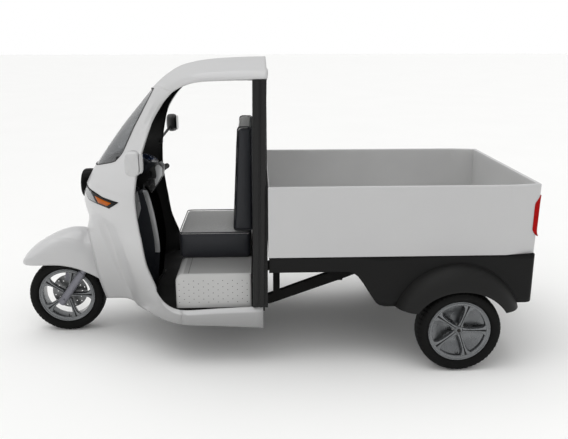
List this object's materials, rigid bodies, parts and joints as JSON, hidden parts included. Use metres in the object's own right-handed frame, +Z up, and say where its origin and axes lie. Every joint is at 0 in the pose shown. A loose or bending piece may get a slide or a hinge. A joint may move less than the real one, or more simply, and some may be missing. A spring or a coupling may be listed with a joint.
{
  "type": "three wheeled car",
  "caption": "Electric cargo trike with an open cab, a single steered front wheel, a seat and a fixed open load bed over a two-wheel rear axle.",
  "frame": {"origin": "on the ground under the middle of the vehicle's outer box", "axes": "+X to the rear, +Y to the vehicle's right, +Z up"},
  "size_m": [3.0413, 1.724, 1.732],
  "materials": {
    "painted_body": "light grey-white gloss paint",
    "frame_steel": "black chassis paint",
    "axle_iron": "black painted casting",
    "black_liner": "matt black moulding",
    "skirt_plastic": "satin black moulding",
    "pillar_plastic": "satin black moulding",
    "tinted_glass": "tinted laminated glass",
    "lamp_black": "gloss black lens",
    "lamp_amber": "amber lens with dark rim",
    "lamp_red": "red lens",
    "console_plastic": "dark navy moulding",
    "seat_box_steel": "pale painted sheet with punched dots",
    "battery_case": "battery case",
    "seat_vinyl": "navy and grey vinyl",
    "pedal_rubber": "ribbed rubber",
    "fork_metal": "satin silver",
    "bar_black": "black bar and grips",
    "alloy": "satin cast alloy",
    "disc_steel": "drilled steel disc",
    "tyre_rubber": "black rubber"
  },
  "bodies": {
    "vehicle_body": {"chassis_frame": "frame_steel", "cab_floor": "black_liner", "cab_front_shell": "painted_body", "cab_liner": "black_liner", "cab_roof": "painted_body", "windscreen": "tinted_glass", "wheel_housing": "black_liner", "nose_lamp": "lamp_black", "corner_lamp_left": "lamp_amber", "corner_lamp_right": "lamp_amber", "console": "console_plastic", "sill_left": "painted_body", "sill_right": "painted_body", "door_pillar_left": "pillar_plastic", "door_pillar_right": "pillar_plastic", "seat_box": "seat_box_steel", "battery_pack": "battery_case", "seat_cushion": "seat_vinyl", "seat_backrest": "seat_vinyl", "cab_rear_panel": "painted_body", "rear_window": "tinted_glass", "load_bed": "painted_body", "bed_skirt_left": "skirt_plastic", "bed_skirt_right": "skirt_plastic", "rear_bumper": "skirt_plastic", "arch_flare_left": "skirt_plastic", "arch_flare_right": "skirt_plastic", "tail_lamp_left": "lamp_red", "tail_lamp_right": "lamp_red", "mirror_left": "painted_body", "mirror_right": "painted_body", "rear_axle": "axle_iron", "leaf_spring_left": "frame_steel", "leaf_spring_right": "frame_steel", "brake_pedal": "pedal_rubber"},
    "steering": {"fork": "fork_metal", "handlebar": "bar_black", "instrument_pod": "console_plastic", "front_mudguard": "painted_body", "brake_caliper": "fork_metal"},
    "front_wheel": {"front_rim": "alloy", "front_tyre": "tyre_rubber", "front_brake_disc": "disc_steel"},
    "rear_wheel_left": {"rear_rim_left": "alloy", "rear_tyre_left": "tyre_rubber"},
    "rear_wheel_right": {"rear_rim_right": "alloy", "rear_tyre_right": "tyre_rubber"}
  },
  "joints": [
    {"name": "steering_turn", "type": "hinge", "parent": "vehicle_body", "child": "steering", "pos_m": [-1.27925, 0, 0.2415], "axis": [0.5878, 0, 0.809], "range_deg": [-35, 35]},
    {"name": "front_wheel_spin", "type": "hinge", "parent": "steering", "child": "front_wheel", "pos_m": [-1.27925, 0, 0.2415], "axis": [0, 1, 0], "continuous": true},
    {"name": "rear_wheel_left_spin", "type": "hinge", "parent": "vehicle_body", "child": "rear_wheel_left", "pos_m": [1.08275, -0.645, 0.2415], "axis": [0, 1, 0], "continuous": true},
    {"name": "rear_wheel_right_spin", "type": "hinge", "parent": "vehicle_body", "child": "rear_wheel_right", "pos_m": [1.08275, 0.645, 0.2415], "axis": [0, 1, 0], "continuous": true}
  ]
}
